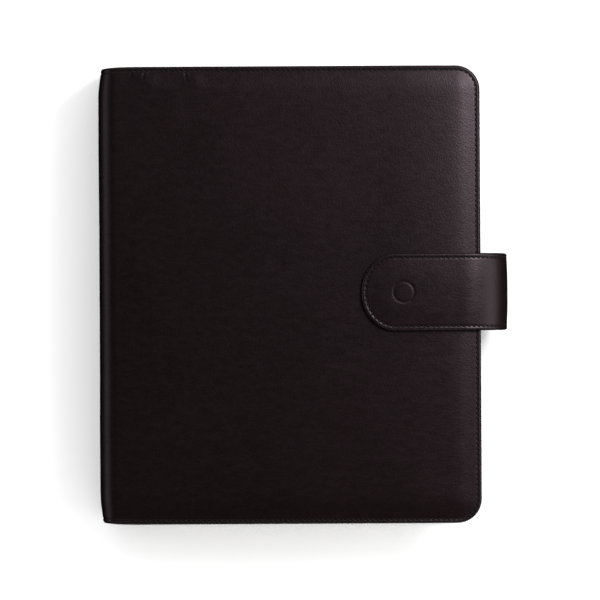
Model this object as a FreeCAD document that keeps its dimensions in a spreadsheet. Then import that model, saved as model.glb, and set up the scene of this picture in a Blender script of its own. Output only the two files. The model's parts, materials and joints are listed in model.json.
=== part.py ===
import FreeCAD, Part
import math
import os
import re
import Sketcher

# A desk organiser cover in padded leather, closed and lying on its back cover. Millimetres.
# +X runs from the spine to the fore edge, +Y to the top edge, +Z up through the closed thickness.
# The origin is the centre of the back cover's outer face.

V = FreeCAD.Vector
X_AXIS = V(1, 0, 0)
Y_AXIS = V(0, 1, 0)
Z_AXIS = V(0, 0, 1)

DIMENSIONS = {
    # covers
    "cover_wide": 195.5,
    "cover_high": 235,
    "closed_thick": 40,
    "leather": 1.4,
    "padding": 0.8,
    "board": 1.2,
    "lining": 0.6,
    "hem": 4,
    "corner_round": 11,
    "spine_round": 14,
    "hinge_split": 44.5,
    # tab strap
    "strap_wide": 39.5,
    "strap_shift": 1.2,
    "strap_reach": 61.5,
    "strap_bulge": 13.25,
    "strap_leather": 2.2,
    "strap_lining": 1,
    "strap_gap": 0.5,
    "strap_foot": 0.8,
    "stiffener": 0.8,
    "stiffener_inset": 4,
    # press stud under the strap
    "snap_from_tip": 21.75,
    "stud_flange_round": 5.5,
    "stud_flange": 0.4,
    "stud_round": 3,
    "stud_tall": 1.8,
    "post_round": 1.5,
    "socket_round": 5.8,
    "socket_bore": 3.3,
    "socket_tall": 1.7,
    "socket_cap": 0.3,
    "snap_clearance": 0.2,
    # ring mechanism on the spine
    "shell_long": 178,
    "shell_wide": 16,
    "shell_rise": 4.5,
    "shell_wall": 0.9,
    "shell_slot_low": 1.9,
    "shell_slot_high": 7.8,
    "shell_slot_wide": 4.2,
    "ring_round": 11,
    "ring_wire": 1.5,
    "ring_centre_in": 12.5,
    "ring_foot_angle": 154,
    "ring_gap_angle": 0.3,
    "ring_pitch": 19,
    "ring_inner_gap": 70,
    "blade_thick": 0.7,
    "blade_lift": 0.45,
    "blade_long": 172,
    "blade_near": 0.15,
    "blade_far": 5.4,
    "blade_notch": 2.2,
    "rivet_round": 1.5,
    "rivet_head_round": 2.5,
    "rivet_head": 0.8,
    "rivet_from_middle": 16,
    "rivet_clearance": 0.1,
    # opening levers of the mechanism
    "lever_from_middle": 92,
    "lever_lift": 1.45,
    "lever_barrel": 1.2,
    "lever_wide": 9,
    "lever_long": 12,
    "lever_thick": 1.2,
    "lever_tilt": 13,
    "lever_pin": 0.8,
    "lever_pin_clearance": 0.06,
    "ear_wall": 1,
    "ear_gap": 0.3,
    "ear_long": 6,
    "ear_rise": 2.75,
    # pages
    "page_wide": 148,
    "page_high": 210,
    "page_stack": 7,
    "divider": 0.4,
    "divider_tab": 8,
    "divider_tab_wide": 36,
    "divider_tab_from": 60,
    "page_part": 0.1,
    "page_edge_in": 3,
    "page_round": 4,
    "slot_near": 5.2,
    "slot_far": 15,
    "slot_wide": 5,
    # pockets and pen loop
    "pocket": 0.9,
    "pocket_inset": 4.5,
    "front_pocket_from": -35,
    "back_pocket_from": -40,
    "back_pocket_to": 76,
    "card_from": -26,
    "card_wide": 100,
    "card_low": -72,
    "card_tall": 86,
    "card_step": 22,
    "loop_round": 7,
    "loop_wall": 1.2,
    "loop_in": 86.5,
    "loop_from": 40,
    "loop_long": 38,
    "loop_foot_wide": 12,
}

doc = FreeCAD.newDocument("OrganiserCover")
sheet = doc.addObject("Spreadsheet::Sheet", "Dims")
for row, (alias, value) in enumerate(DIMENSIONS.items(), start=1):
    sheet.set(f"A{row}", alias)
    sheet.set(f"B{row}", str(value))
    sheet.setAlias(f"B{row}", alias)
doc.recompute()

ALIAS = re.compile(r"\b(" + "|".join(DIMENSIONS) + r")\b")

# lengths that several parts share, as sums of the sheet's dimensions
FORE = "cover_wide / 2"
SPINE = "-cover_wide / 2"
TOP = "cover_high / 2"
PANEL = "(leather + padding + board + lining)"
BEND_X = f"({SPINE} + spine_round)"
SPINE_FACE = f"({SPINE} + {PANEL})"
MIDDLE = "(closed_thick / 2)"
STRAP = "(strap_leather + strap_lining)"
STRAP_LOW = "(strap_shift - strap_wide / 2)"
STRAP_UNDER = "(closed_thick + strap_gap)"
STRAP_TOP = f"({STRAP_UNDER} + {STRAP})"
STRAP_TIP = f"({FORE} - strap_reach)"
SNAP_X = f"({STRAP_TIP} + snap_from_tip)"
RING_X = f"({SPINE_FACE} + ring_centre_in)"
DOME_ROUND = "((shell_wide * shell_wide / 4 + shell_rise * shell_rise) / (2 * shell_rise))"
DOME_X = f"({SPINE_FACE} + shell_rise - {DOME_ROUND})"
LEVER_X = f"({SPINE_FACE} + lever_lift)"

SUBPARTS = {}


def bound(expression):
    """The expression with each alias pointing at the sheet."""
    return ALIAS.sub(r"Dims.\1", expression)


def bind(item, **properties):
    for name, expression in properties.items():
        item.setExpression(name.replace("__", "."), bound(expression))


def place(item, x="0", y="0", z="0", turn=None):
    """Puts an object at a point given by the sheet, turned by a rotation."""
    if turn:
        item.Placement = FreeCAD.Placement(V(), turn)
    bind(item, Placement__Base__x=x, Placement__Base__y=y, Placement__Base__z=z)


def keep(item, node):
    """Registers the object as the sub-part that is written to a file of this name."""
    item.Label = node
    SUBPARTS[node] = item
    return item


# ---- Part primitives -------------------------------------------------------------------------


def box(name, low, size, turn=None):
    item = doc.addObject("Part::Box", name)
    bind(item, Length=size[0], Width=size[1], Height=size[2])
    place(item, *low, turn=turn)
    return item


def cylinder(name, base, radius, length, turn=None, angle=None):
    item = doc.addObject("Part::Cylinder", name)
    bind(item, Radius=radius, Height=length)
    if angle:
        bind(item, Angle=angle)
    place(item, *base, turn=turn)
    return item


def cut(name, base, tool):
    item = doc.addObject("Part::Cut", name)
    item.Base = base
    item.Tool = tool
    return item


def joined(name, pieces):
    item = doc.addObject("Part::MultiFuse", name)
    item.Shapes = pieces
    return item


def group(name, pieces):
    item = doc.addObject("Part::Compound", name)
    item.Links = pieces
    return item


def about_y(start=0):
    """Lays a primitive's axis along -Y, with its angles counted from +X towards +Z."""
    return FreeCAD.Rotation(X_AXIS, 90) * FreeCAD.Rotation(Z_AXIS, start)


ALONG_X = FreeCAD.Rotation(Y_AXIS, 90)


def bend(name, centre, radius, thick, start, top, length):
    """One half of a quarter bend in a sheet: an arc about a line along Y, from an angle in degrees."""
    x, z = centre
    outer = cylinder(name + "Outer", (x, top, z), radius, length, about_y(start), "hinge_split")
    inner = cylinder(name + "Inner", (x, top, z), f"{radius} - {thick}", length, about_y(start), "hinge_split")
    return cut(name, outer, inner)


# ---- PartDesign bodies -----------------------------------------------------------------------


def new_body(name):
    return doc.addObject("PartDesign::Body", name)


def plane_sketch(body, name, role="XY_Plane", offset="0"):
    sketch = body.newObject("Sketcher::SketchObject", name)
    plane = [item for item in body.Origin.OriginFeatures if item.Role == role]
    sketch.AttachmentSupport = (plane[0], [""])
    sketch.MapMode = "FlatFace"
    bind(sketch, AttachmentOffset__Base__z=offset)
    return sketch


def dimension(sketch, constraint, expression):
    index = sketch.addConstraint(constraint)
    sketch.setExpression(f"Constraints[{index}]", bound(expression))


def rectangle(sketch, low, size):
    """A closed rectangle whose low corner and two sides are bound to the sheet."""
    first = sketch.GeometryCount
    corners = [V(0, 0), V(10, 0), V(10, 10), V(0, 10)]
    for i in range(4):
        sketch.addGeometry(Part.LineSegment(corners[i], corners[(i + 1) % 4]))
    for i in range(4):
        sketch.addConstraint(Sketcher.Constraint("Coincident", first + i, 2, first + (i + 1) % 4, 1))
        kind = "Horizontal" if i % 2 == 0 else "Vertical"
        sketch.addConstraint(Sketcher.Constraint(kind, first + i))
    dimension(sketch, Sketcher.Constraint("DistanceX", first, 1, first, 2, 10), size[0])
    dimension(sketch, Sketcher.Constraint("DistanceY", first + 1, 1, first + 1, 2, 10), size[1])
    dimension(sketch, Sketcher.Constraint("DistanceX", -1, 1, first, 1, 1), low[0])
    dimension(sketch, Sketcher.Constraint("DistanceY", -1, 1, first, 1, 1), low[1])


def circle(sketch, radius):
    index = sketch.addGeometry(Part.Circle(V(), Z_AXIS, 1))
    sketch.addConstraint(Sketcher.Constraint("Coincident", index, 3, -1, 1))
    dimension(sketch, Sketcher.Constraint("Radius", index, 1), radius)


def pad(body, sketch, length):
    feature = body.newObject("PartDesign::Pad", sketch.Name + "Pad")
    feature.Profile = sketch
    bind(feature, Length=length)
    doc.recompute()
    return feature


def pocket(body, sketch, depth):
    """Cuts the sketch down from its plane, and stops if nothing was cut."""
    before = body.Shape.Volume
    feature = body.newObject("PartDesign::Pocket", sketch.Name + "Pocket")
    feature.Profile = sketch
    bind(feature, Length=depth)
    doc.recompute()
    if body.Shape.Volume >= before:
        raise RuntimeError(f"{feature.Name} cut nothing")
    return feature


def round_corners(body, base, radius, chosen):
    """Fillets the upright edges for which chosen(x, y) is true."""
    names = []
    for number, edge in enumerate(base.Shape.Edges, start=1):
        ends = [vertex.Point for vertex in edge.Vertexes]
        if len(ends) == 2 and abs(ends[0].x - ends[1].x) + abs(ends[0].y - ends[1].y) < 1e-6:
            if chosen(ends[0].x, ends[0].y):
                names.append(f"Edge{number}")
    feature = body.newObject("PartDesign::Fillet", base.Name + "Round")
    feature.Base = (base, names)
    bind(feature, Radius=radius)
    doc.recompute()
    return feature


def plate(name, low, size, radius=None, chosen=None):
    """A flat sheet, with some of its corners rounded."""
    body = new_body(name)
    sketch = plane_sketch(body, name + "Outline", offset=low[2])
    rectangle(sketch, low[:2], size[:2])
    feature = pad(body, sketch, size[2])
    if radius:
        round_corners(body, feature, radius, chosen)
    return body


def dim(alias):
    return float(getattr(sheet, alias))


# ---- covers ----------------------------------------------------------------------------------

FLIP = FreeCAD.Rotation(X_AXIS, 180)


def settle(body, side):
    """The front cover is the back cover turned over and raised to the closed thickness."""
    if side == "front":
        place(body, z="closed_thick", turn=FLIP)
    return body


def cover_shell(side):
    """The outer leather of one cover: a panel with turned hems round a shallow tray for the layers inside."""
    body = plate(
        side + "Shell",
        (BEND_X, "-" + TOP, "0"),
        ("cover_wide - spine_round", "cover_high", PANEL),
        "corner_round",
        lambda x, y: x > 0,
    )
    tray = plane_sketch(body, side + "Tray", offset=PANEL)
    rectangle(tray, (BEND_X, f"-{TOP} + hem"), ("cover_wide - spine_round - hem", "cover_high - 2 * hem"))
    pocket(body, tray, f"{PANEL} - leather")
    if side == "back":
        notch = plane_sketch(body, side + "Notch", offset=PANEL)
        rectangle(notch, (f"{FORE} - hem", STRAP_LOW), ("hem + 1", "strap_wide"))
        pocket(body, notch, f"{PANEL} - leather")
    return settle(body, side)


def cover_layer(side, kind, low):
    body = plate(
        f"{side}{kind.title()}",
        (BEND_X, f"-{TOP} + hem", low),
        ("cover_wide - spine_round - hem", "cover_high - 2 * hem", kind),
    )
    return settle(body, side)


def covers():
    """Each cover: leather, foam, board and lining. The front one also carries the press stud's post."""
    post_hole = cylinder("PostHole", (SNAP_X, "strap_shift", MIDDLE), "post_round + 0.05", "closed_thick")
    for side, start, bend_z in (("back", 225.5, "spine_round"), ("front", 90, "closed_thick - spine_round")):
        half = bend(
            side + "Bend", (BEND_X, bend_z), "spine_round", "leather", start, TOP, "cover_high"
        )
        leather = joined(side + "Leather", [cover_shell(side), half])
        padding = cover_layer(side, "padding", "leather")
        board = cover_layer(side, "board", "leather + padding")
        lining = cover_layer(side, "lining", "leather + padding + board")
        if side == "front":
            leather = cut("frontLeatherHoled", leather, post_hole)
            padding = cut("frontPaddingHoled", padding, post_hole)
        keep(leather, f"{side}_cover_leather")
        keep(padding, f"{side}_cover_padding")
        keep(board, f"{side}_cover_board")
        keep(lining, f"{side}_cover_lining")


def spine():
    """The spine: the flat band between two half bends, with its own board and lining."""
    flat = "closed_thick - 2 * spine_round"
    outer = box("SpineFlat", (SPINE, "-" + TOP, "spine_round"), (PANEL, "cover_high", flat))
    tray = box(
        "SpineTray",
        (f"{SPINE} + leather", f"-{TOP} + hem", "spine_round"),
        (PANEL, "cover_high - 2 * hem", flat),
    )
    lower = bend("SpineLower", (BEND_X, "spine_round"), "spine_round", "leather", 180, TOP, "cover_high")
    upper = bend(
        "SpineUpper", (BEND_X, "closed_thick - spine_round"), "spine_round", "leather", 135.5, TOP, "cover_high"
    )
    keep(joined("SpineLeather", [cut("SpineBand", outer, tray), lower, upper]), "spine_leather")
    inside = ("cover_high - 2 * hem", flat)
    board = box(
        "SpineBoard", (f"{SPINE} + leather", f"-{TOP} + hem", "spine_round"), ("padding + board",) + inside
    )
    lining = box(
        "SpineLining", (f"{SPINE_FACE} - lining", f"-{TOP} + hem", "spine_round"), ("lining",) + inside
    )
    keep(cut("SpineBoardHoled", board, rivet_holes("BoardHoles")), "spine_board")
    keep(cut("SpineLiningHoled", lining, rivet_holes("LiningHoles")), "spine_lining")


# ---- pockets and pen loop --------------------------------------------------------------------


def pockets():
    """A full-height slip pocket in each cover, three stepped card pockets, and the pen loop."""
    inner_high = "cover_high - 2 * pocket_inset"
    inner_low = f"-{TOP} + pocket_inset"
    slip = plate(
        "SlipPocket",
        ("front_pocket_from", inner_low, f"closed_thick - {PANEL} - pocket"),
        (f"{FORE} - pocket_inset - front_pocket_from", inner_high, "pocket"),
        "corner_round - hem",
        lambda x, y: x > 0,
    )
    keep(slip, "front_slip_pocket")
    for level, name in enumerate(("top", "middle", "bottom"), start=1):
        card = plate(
            f"CardPocket{level}",
            ("card_from", "card_low", f"closed_thick - {PANEL} - pocket * {level + 1}"),
            ("card_wide", f"card_tall - card_step * {level - 1}", "pocket"),
        )
        keep(card, f"card_pocket_{name}")
    back = plate(
        "BackPocket",
        ("back_pocket_from", inner_low, PANEL),
        ("back_pocket_to - back_pocket_from", inner_high, "pocket"),
    )
    keep(back, "back_slip_pocket")
    centre = ("loop_in", "loop_from + loop_long", f"{PANEL} + loop_round")
    tube = cylinder("LoopOuter", centre, "loop_round", "loop_long", about_y())
    foot = box(
        "LoopFoot",
        ("loop_in - loop_foot_wide / 2", "loop_from", PANEL),
        ("loop_foot_wide", "loop_long", "loop_wall"),
    )
    bore = cylinder("LoopBore", centre, "loop_round - loop_wall", "loop_long", about_y())
    keep(cut("PenLoop", joined("LoopSolid", [tube, foot]), bore), "pen_loop")


# ---- tab strap -------------------------------------------------------------------------------


def strap_end(body_name, low_z, thick, inset):
    """The flat of the strap over the front cover, with a rounded tip."""
    middle = dim("cover_wide") / 2 - dim("strap_reach") + dim("strap_wide") / 2
    return plate(
        body_name,
        (f"{STRAP_TIP} + {inset}", f"{STRAP_LOW} + {inset}", low_z),
        (f"strap_reach - {inset}", f"strap_wide - 2 * {inset}", thick),
        f"strap_wide / 2 - {inset} - 0.05",
        lambda x, y: x < middle,
    )


def strap():
    """The strap: its foot in the back cover's hem, the riser past the fore edge and the flap over the front."""
    length = "strap_wide"
    edge = f"{STRAP_LOW} + strap_wide"
    low_centre = (FORE, "(strap_foot + strap_bulge)")
    high_centre = (FORE, f"({STRAP_TOP} - strap_bulge)")

    tongue = box(
        "StrapTongue", (f"{FORE} - hem", STRAP_LOW, "leather"), ("hem", length, f"{PANEL} - leather")
    )
    foot = bend("StrapFoot", low_centre, "strap_bulge", STRAP, 270, edge, length)
    keep(joined("StrapBase", [tongue, foot]), "strap_base")

    rise = f"{high_centre[1]} - {low_centre[1]}"
    layers = (("leather", "strap_bulge", "strap_leather"), ("lining", "(strap_bulge - strap_leather)", "strap_lining"))
    for kind, radius, thick in layers:
        wall = box(
            f"Riser{kind}Wall",
            (f"{FORE} + {radius} - {thick}", STRAP_LOW, low_centre[1]),
            (thick, length, rise),
        )
        lower = bend(f"Riser{kind}Lower", low_centre, radius, thick, -44.5, edge, length)
        upper = bend(f"Riser{kind}Upper", high_centre, radius, thick, 0, edge, length)
        keep(joined(f"Riser{kind}", [lower, wall, upper]), f"strap_riser_{kind}")

    snap_hole = cylinder(
        "SocketHole",
        (SNAP_X, "strap_shift", "closed_thick"),
        "socket_round + snap_clearance",
        "strap_gap + strap_lining + stiffener + socket_cap",
    )
    stiff_low = f"{STRAP_UNDER} + strap_lining"
    flap = strap_end("FlapLeather", stiff_low, "strap_leather", "0")
    recess = box(
        "FlapRecess",
        (f"{SNAP_X} - 12", f"{STRAP_LOW} + stiffener_inset", stiff_low),
        (f"{FORE} - {SNAP_X} + 6", "strap_wide - 2 * stiffener_inset", "stiffener"),
    )
    over = bend("FlapBend", high_centre, "strap_bulge", "strap_leather", 45.5, edge, length)
    flap = cut("FlapTray", joined("FlapJoined", [flap, over]), recess)
    keep(cut("FlapHoled", flap, snap_hole), "strap_flap_leather")
    stiff = box(
        "Stiffener",
        (f"{SNAP_X} - 12", f"{STRAP_LOW} + stiffener_inset", stiff_low),
        (f"{FORE} - {SNAP_X} + 6", "strap_wide - 2 * stiffener_inset", "stiffener"),
    )
    keep(cut("StiffenerHoled", stiff, snap_hole), "strap_stiffener")
    under = strap_end("FlapLining", STRAP_UNDER, "strap_lining", "0")
    under_bend = bend(
        "LiningBend", high_centre, "(strap_bulge - strap_leather)", "strap_lining", 45.5, edge, length
    )
    keep(cut("LiningHoled", joined("LiningJoined", [under, under_bend]), snap_hole), "strap_flap_lining")


def snap():
    """The hidden press stud: post and stud in the front cover, socket and cap in the strap."""
    at = (SNAP_X, "strap_shift")
    flange = cylinder("StudFlange", at + ("closed_thick",), "stud_flange_round", "stud_flange")
    knob = cylinder("StudKnob", at + ("closed_thick",), "stud_round", "stud_tall")
    keep(joined("SnapStud", [flange, knob]), "snap_stud")
    depth = "(leather + padding)"
    keep(cylinder("SnapPost", at + (f"closed_thick - {depth}",), "post_round", depth), "snap_post")
    ring_low = f"{STRAP_UNDER} + strap_lining + stiffener - socket_tall"
    outer = cylinder("SocketOuter", at + (ring_low,), "socket_round", "socket_tall")
    bore = cylinder("SocketBore", at + (ring_low,), "socket_bore", "socket_tall")
    keep(cut("SnapSocket", outer, bore), "snap_socket")
    cap_low = f"{STRAP_UNDER} + strap_lining + stiffener"
    keep(cylinder("SnapCap", at + (cap_low,), "socket_round", "socket_cap"), "snap_cap")


# ---- ring mechanism --------------------------------------------------------------------------


def ring_places():
    """The six rings' places along Y, as expressions: three each side of the middle gap."""
    return [f"{sign} * (ring_inner_gap / 2 + ring_pitch * {step})" for sign in (-1, 1) for step in range(3)]


def rivet_holes(name):
    holes = []
    for sign in (-1, 1):
        base = (SPINE, f"{sign} * rivet_from_middle", MIDDLE)
        holes.append(
            cylinder(f"{name}{sign + 2}", base, "rivet_round + rivet_clearance", "ring_centre_in", ALONG_X)
        )
    return group(name, holes)


def ring_shell():
    """The sprung steel dome, slotted for the rings, with two ears at each end for a lever's pin."""
    outer = cylinder("DomeOuter", (DOME_X, "shell_long / 2", MIDDLE), DOME_ROUND, "shell_long", about_y())
    inner = cylinder(
        "DomeInner", (DOME_X, "shell_long / 2", MIDDLE), f"{DOME_ROUND} - shell_wall", "shell_long", about_y()
    )
    keepers = box(
        "DomeKeep",
        (SPINE_FACE, "-shell_long / 2", f"{MIDDLE} - shell_wide / 2"),
        ("shell_rise + 1", "shell_long", "shell_wide"),
    )
    dome = doc.addObject("Part::Common", "Dome")
    dome.Base = cut("DomeTube", outer, inner)
    dome.Tool = keepers
    slots = []
    for number, y in enumerate(ring_places()):
        for low in ("shell_slot_low", "-shell_slot_high"):
            slots.append(
                box(
                    f"RingSlot{number}{len(slots)}",
                    (SPINE_FACE, f"{y} - shell_slot_wide / 2", f"{MIDDLE} + {low}"),
                    ("shell_rise", "shell_slot_wide", "shell_slot_high - shell_slot_low"),
                )
            )
    slotted = cut("DomeSlotted", dome, group("RingSlots", slots))
    ears = []
    pins = []
    pin_long = "lever_wide + 2 * ear_gap + 2 * ear_wall + 0.6"
    for sign in (-1, 1):
        for side in (-1, 1):
            low = f"{MIDDLE} + {side} * (lever_wide / 2 + ear_gap + ear_wall / 2) - ear_wall / 2"
            base = (SPINE_FACE, f"{sign} * (shell_long / 2 + ear_long / 2 - 1) - ear_long / 2", low)
            ears.append(box(f"Ear{sign + 2}{side + 2}", base, ("ear_rise", "ear_long", "ear_wall")))
        base = (LEVER_X, f"{sign} * lever_from_middle", f"{MIDDLE} - ({pin_long}) / 2")
        pins.append(cylinder(f"LeverPin{sign + 2}", base, "lever_pin", pin_long))
    shell = cut("ShellPinned", joined("ShellEared", [slotted] + ears), group("PinHoles", pins))
    keep(cut("RingShell", shell, rivet_holes("ShellHoles")), "ring_shell")
    keep(group("LeverPins", pins), "lever_pins")


def rivets():
    pieces = []
    for sign in (-1, 1):
        y = f"{sign} * rivet_from_middle"
        post_long = f"{PANEL} - leather + shell_rise"
        post = cylinder(f"RivetPost{sign + 2}", (f"{SPINE} + leather", y, MIDDLE), "rivet_round", post_long, ALONG_X)
        head = cylinder(
            f"RivetHead{sign + 2}", (f"{SPINE_FACE} + shell_rise", y, MIDDLE), "rivet_head_round", "rivet_head", ALONG_X
        )
        pieces.append(joined(f"Rivet{sign + 2}", [post, head]))
    keep(group("RingRivets", pieces), "ring_rivets")


def ring_halves():
    """Six half rings and the blade that carries them, above and below the mechanism's middle."""
    sweep = "ring_foot_angle - ring_gap_angle"
    for half, start in (("upper", dim("ring_gap_angle")), ("lower", -dim("ring_foot_angle"))):
        wires = []
        for number, y in enumerate(ring_places()):
            wire = doc.addObject("Part::Torus", f"Ring{half}{number}")
            bind(wire, Radius1="ring_round", Radius2="ring_wire", Angle3=sweep)
            place(wire, RING_X, y, MIDDLE, about_y(start))
            wires.append(wire)
        keep(group(f"Rings{half}", wires), f"ring_halves_{half}")
        low = "blade_near" if half == "upper" else "-blade_far"
        blade = box(
            f"Blade{half}",
            (f"{SPINE_FACE} + blade_lift", "-blade_long / 2", f"{MIDDLE} + {low}"),
            ("blade_thick", "blade_long", "blade_far - blade_near"),
        )
        notches = []
        for sign in (-1, 1):
            notches.append(
                box(
                    f"Notch{half}{sign + 2}",
                    (SPINE_FACE, f"{sign} * rivet_from_middle - 3", f"{MIDDLE} - blade_notch"),
                    ("shell_rise", "6", "2 * blade_notch"),
                )
            )
        keep(cut(f"BladeNotched{half}", blade, group(f"Notches{half}", notches)), f"ring_blade_{half}")


def levers():
    """A thumb lever at each end of the mechanism, tilted away from the spine, on a pin between the ears."""
    for sign, name in ((1, "top"), (-1, "bottom")):
        body = new_body(f"Lever{name}")
        barrel = plane_sketch(body, f"LeverBarrel{name}")
        circle(barrel, "lever_barrel")
        pad(body, barrel, "lever_wide")
        thumb = plane_sketch(body, f"LeverThumb{name}")
        rectangle(thumb, ("0", "-lever_thick / 2"), ("lever_long", "lever_thick"))
        pad(body, thumb, "lever_wide")
        bore = plane_sketch(body, f"LeverBore{name}", offset="lever_wide")
        circle(bore, "lever_pin + lever_pin_clearance")
        pocket(body, bore, "lever_wide")
        turn = FreeCAD.Rotation(Z_AXIS, sign * (90 - dim("lever_tilt")))
        place(body, LEVER_X, f"{sign} * lever_from_middle", f"{MIDDLE} - lever_wide / 2", turn)
        keep(body, f"opening_lever_{name}")


# ---- pages -----------------------------------------------------------------------------------


def punched(body, name, top, depth):
    """Cuts the six slots that the rings pass through."""
    sketch = plane_sketch(body, name + "Slots", offset=top)
    for y in ring_places():
        rectangle(sketch, (f"{RING_X} + slot_near", f"{y} - slot_wide / 2"), ("slot_far - slot_near", "slot_wide"))
    pocket(body, sketch, depth)
    return body


def pages():
    """Two blocks of pages on the rings, each faced with a divider card whose tab stands past the pages."""
    edge = f"{RING_X} + page_edge_in"
    for half, low, card_low, tab_low in (
        ("lower", f"{MIDDLE} - page_part - page_stack", f"{MIDDLE} - page_part - page_stack - divider", "-1"),
        ("upper", f"{MIDDLE} + page_part", f"{MIDDLE} + page_part + page_stack", "1"),
    ):
        block = plate(
            f"Pages{half}", (edge, "-page_high / 2", low), ("page_wide", "page_high", "page_stack"),
            "page_round", lambda x, y: x > 0,
        )
        keep(punched(block, f"Pages{half}", f"{low} + page_stack", "page_stack"), f"page_block_{half}")
        card = plate(
            f"Divider{half}", (edge, "-page_high / 2", card_low), ("page_wide", "page_high", "divider")
        )
        tab = plane_sketch(card, f"DividerTab{half}", offset=card_low)
        rectangle(
            tab,
            (f"{edge} + page_wide - 1", f"{tab_low} * divider_tab_from - divider_tab_wide / 2"),
            ("divider_tab + 1", "divider_tab_wide"),
        )
        pad(card, tab, "divider")
        keep(punched(card, f"Divider{half}", f"{card_low} + divider", "divider"), f"divider_{half}")


# ---- build, test and write -------------------------------------------------------------------

covers()
spine()
pockets()
strap()
snap()
ring_shell()
rivets()
ring_halves()
levers()
pages()
doc.recompute()

for item in doc.Objects:
    if "Invalid" in item.State or "Error" in item.State:
        raise RuntimeError(f"{item.Name} did not compute")
for node, item in SUBPARTS.items():
    if item.Shape.isNull() or not item.Shape.isValid() or not item.Shape.Solids:
        raise RuntimeError(f"{node} has no valid solid")

os.makedirs("parts", exist_ok=True)
for node, item in SUBPARTS.items():
    item.Shape.exportStep(f"parts/{node}.step")

hinge_inset = dim("spine_round") * (1 - math.pi / 4)
strap_inset = dim("strap_bulge") * (1 - math.pi / 4)
print(f"{len(SUBPARTS)} sub-parts; cover hinges {hinge_inset:.3f} mm and strap hinges {strap_inset:.3f} mm inside")
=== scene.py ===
import json
import math

import bmesh
import bpy
import numpy as np
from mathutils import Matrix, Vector, noise


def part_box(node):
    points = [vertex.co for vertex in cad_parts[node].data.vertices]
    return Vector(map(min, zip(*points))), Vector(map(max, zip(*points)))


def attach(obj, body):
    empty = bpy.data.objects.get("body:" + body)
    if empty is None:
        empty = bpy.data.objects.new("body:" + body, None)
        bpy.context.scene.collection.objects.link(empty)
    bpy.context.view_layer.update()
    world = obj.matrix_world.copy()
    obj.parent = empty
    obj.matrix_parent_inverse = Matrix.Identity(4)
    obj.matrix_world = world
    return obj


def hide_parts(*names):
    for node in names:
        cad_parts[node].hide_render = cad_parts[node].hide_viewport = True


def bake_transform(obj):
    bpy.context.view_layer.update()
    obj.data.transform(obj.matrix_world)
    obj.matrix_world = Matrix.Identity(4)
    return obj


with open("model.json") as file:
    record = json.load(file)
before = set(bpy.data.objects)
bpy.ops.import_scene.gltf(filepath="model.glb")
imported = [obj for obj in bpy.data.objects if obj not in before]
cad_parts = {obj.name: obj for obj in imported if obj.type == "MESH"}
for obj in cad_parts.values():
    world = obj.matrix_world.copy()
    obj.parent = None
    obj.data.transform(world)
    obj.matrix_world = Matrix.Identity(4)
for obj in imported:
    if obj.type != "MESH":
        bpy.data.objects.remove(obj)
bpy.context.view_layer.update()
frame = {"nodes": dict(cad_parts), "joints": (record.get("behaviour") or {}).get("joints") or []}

# A ring organiser cover in padded leather. Lengths below are in millimetres, and become metres in new_mesh.
# Sheets of leather are built on a path: s runs along the path, y along the book's height, and the offset is
# how far a point stands proud of the path. Outer faces have the larger offset.

MM = 0.001


def box_mm(node):
    low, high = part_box(node)
    return np.array(low) / MM, np.array(high) / MM


def joint_mm(name):
    found = [joint for joint in frame["joints"] if joint["name"] == name]
    return np.array(found[0]["pos_m"]) / MM


COVER_HIGH = box_mm("back_cover_leather")[1]
FORE = COVER_HIGH[0]
SPINE = box_mm("spine_leather")[0][0]
HALF_HIGH = COVER_HIGH[1]
THICK = box_mm("front_cover_leather")[1][2]
MIDDLE = THICK / 2
SPINE_ROUND = 8.5
PANEL = THICK - box_mm("front_cover_lining")[0][2]
CORNER_ROUND = 12.3
FLAP_LOW, FLAP_HIGH = box_mm("strap_flap_leather")
RISER_HIGH = box_mm("strap_riser_leather")[1]
STRAP_MIDDLE = (FLAP_LOW[1] + FLAP_HIGH[1]) / 2
STRAP_HALF = (FLAP_HIGH[1] - FLAP_LOW[1]) / 2
SNAP_LOW, SNAP_HIGH = box_mm("snap_cap")
SNAP = (SNAP_LOW + SNAP_HIGH) / 2
RING_AXIS = joint_mm("pages_turning")

# ---- helpers -------------------------------------------------------------------------------------

SEED_STEP = 7.31


def smooth(value):
    value = np.clip(value, 0.0, 1.0)
    return value * value * (3 - 2 * value)


def bump(distance, width):
    return np.exp(-((distance / width) ** 2))


def ripple(points, size, seed):
    """Smooth noise between about -1 and 1, at places in millimetres."""
    flat = np.asarray(points, float).reshape(-1, 3) / size + seed * SEED_STEP
    return np.array([noise.noise(Vector(point)) for point in flat]).reshape(np.shape(points)[:-1])


def new_mesh(name, vertices, faces, material, shade=True):
    mesh = bpy.data.meshes.new(name)
    mesh.from_pydata([tuple(point) for point in np.asarray(vertices) * MM], [], faces)
    mesh.validate()
    mesh.update()
    if shade:
        mesh.shade_smooth()
    mesh.materials.append(material)
    piece = bpy.data.objects.new(name, mesh)
    bpy.context.scene.collection.objects.link(piece)
    return piece


# ---- paths ---------------------------------------------------------------------------------------

BEND_START = MIDDLE - SPINE_ROUND
BEND_END = BEND_START + SPINE_ROUND * math.pi / 2
COVER_LONG = BEND_END + FORE - SPINE - SPINE_ROUND
SPINE_PULL = 1.1
SPINE_PULL_FROM = 9.0
SPINE_PULL_OVER = 26.0
DROOP = 2.0
DROOP_FROM = 55.0
BACK_DROOP = 0.25
BELLY = 0.6


def droop(x):
    """How far the closed cover bows in towards the pages near the fore edge."""
    return DROOP * np.clip((x - DROOP_FROM) / (FORE - DROOP_FROM), 0, None) ** 2


def s_of_x(x):
    return BEND_END + x - (SPINE + SPINE_ROUND)


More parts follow.
